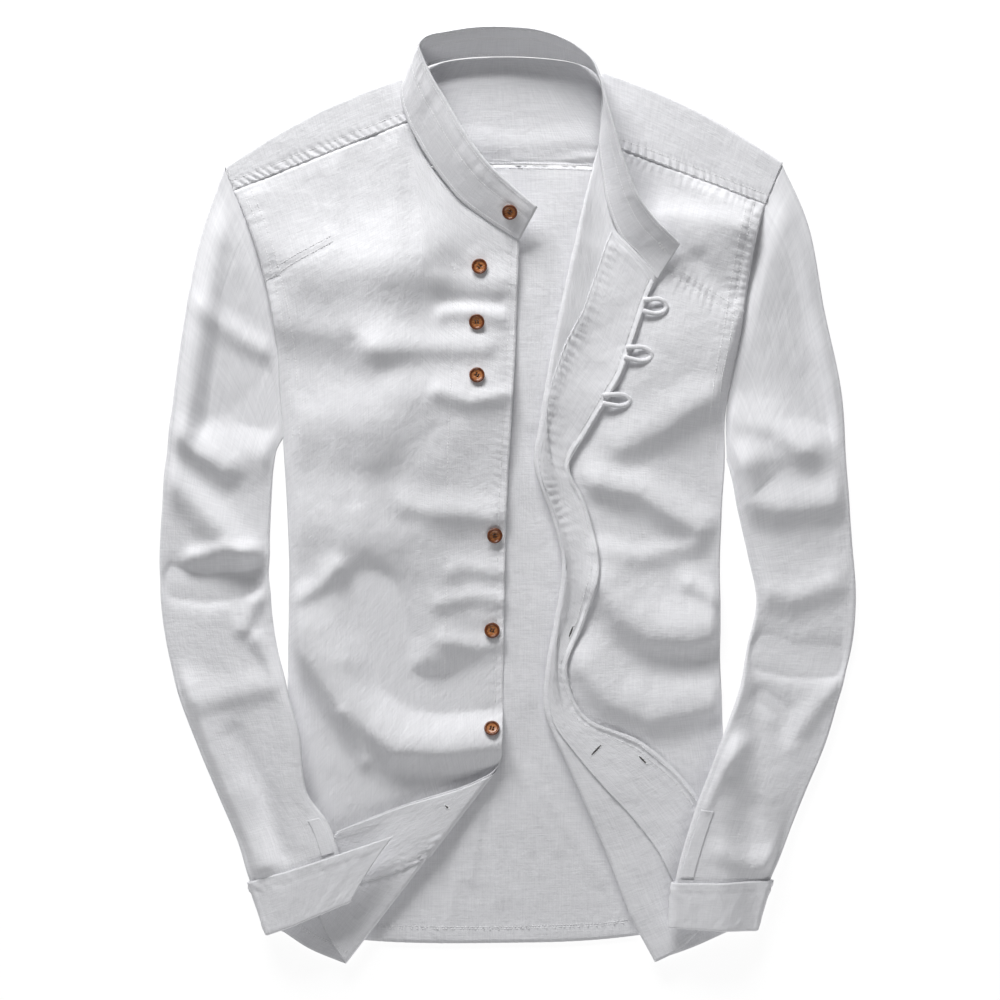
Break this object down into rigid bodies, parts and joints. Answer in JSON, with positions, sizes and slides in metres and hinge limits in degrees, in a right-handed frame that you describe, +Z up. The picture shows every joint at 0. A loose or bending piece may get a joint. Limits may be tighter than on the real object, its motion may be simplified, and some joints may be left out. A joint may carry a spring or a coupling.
{
  "type": "mandarin collar shirt",
  "caption": "White long-sleeved cotton shirt with a stand-up collar, lying open and flat on its back, its left front rolled outward and its cuffs turned back.",
  "frame": {"origin": "middle of the shirt's outline in plan, on the surface that it lies on", "axes": "+Z up from the surface, +Y from the hem to the collar, +X to the wearer's left side"},
  "size_m": [0.5572, 0.7441, 0.04],
  "materials": {
    "shirt_cloth": "matt white cotton and linen weave, washed and softly creased",
    "button": "polished brown with a darker raised rim"
  },
  "bodies": {
    "root": {"back_panel": "shirt_cloth", "yoke": "shirt_cloth", "front_right": "shirt_cloth", "front_left": "shirt_cloth", "facing_right": "shirt_cloth", "facing_left": "shirt_cloth", "collar_band": "shirt_cloth", "sleeve_right": "shirt_cloth", "sleeve_left": "shirt_cloth", "cuff_right": "shirt_cloth", "cuff_left": "shirt_cloth", "placket_right": "shirt_cloth", "placket_left": "shirt_cloth", "button_1": "button", "button_2": "button", "button_3": "button", "button_4": "button", "button_5": "button", "button_6": "button", "button_7": "button", "button_8": "button", "loop_1": "shirt_cloth", "loop_2": "shirt_cloth", "loop_3": "shirt_cloth"}
  },
  "joints": []
}
